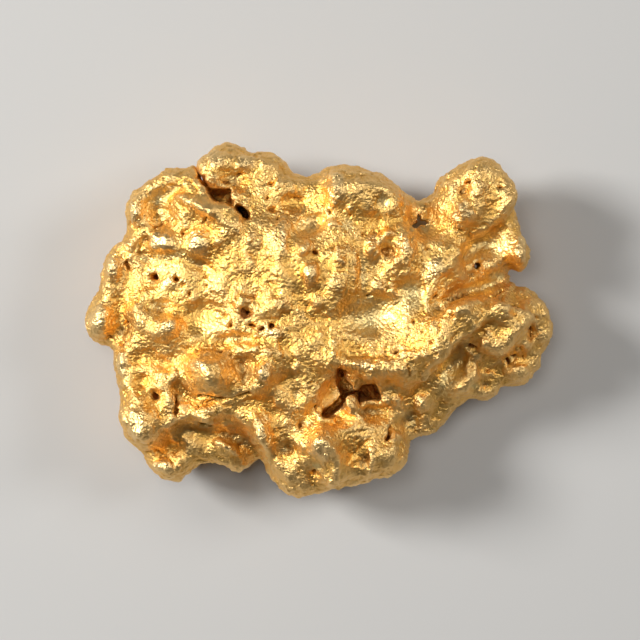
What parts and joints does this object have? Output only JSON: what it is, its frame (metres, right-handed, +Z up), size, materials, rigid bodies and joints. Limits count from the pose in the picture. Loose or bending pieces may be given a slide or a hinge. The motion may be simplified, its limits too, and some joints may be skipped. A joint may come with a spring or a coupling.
{
  "type": "gold nugget",
  "caption": "Flattened natural gold nugget with a lumpy crumpled skin, a horn, a cleft, deep cavities and small holes right through.",
  "frame": {"origin": "on the plane it rests on, under the middle of the bounding box", "axes": "+X along the longest side towards the pointed end, +Y towards the side with the horn, +Z up out of the broad upper face"},
  "size_m": [0.0312, 0.0236, 0.0103],
  "materials": {
    "gold": "rough native gold, bright on the high spots"
  },
  "bodies": {
    "root": {"nugget": "gold"}
  },
  "joints": []
}
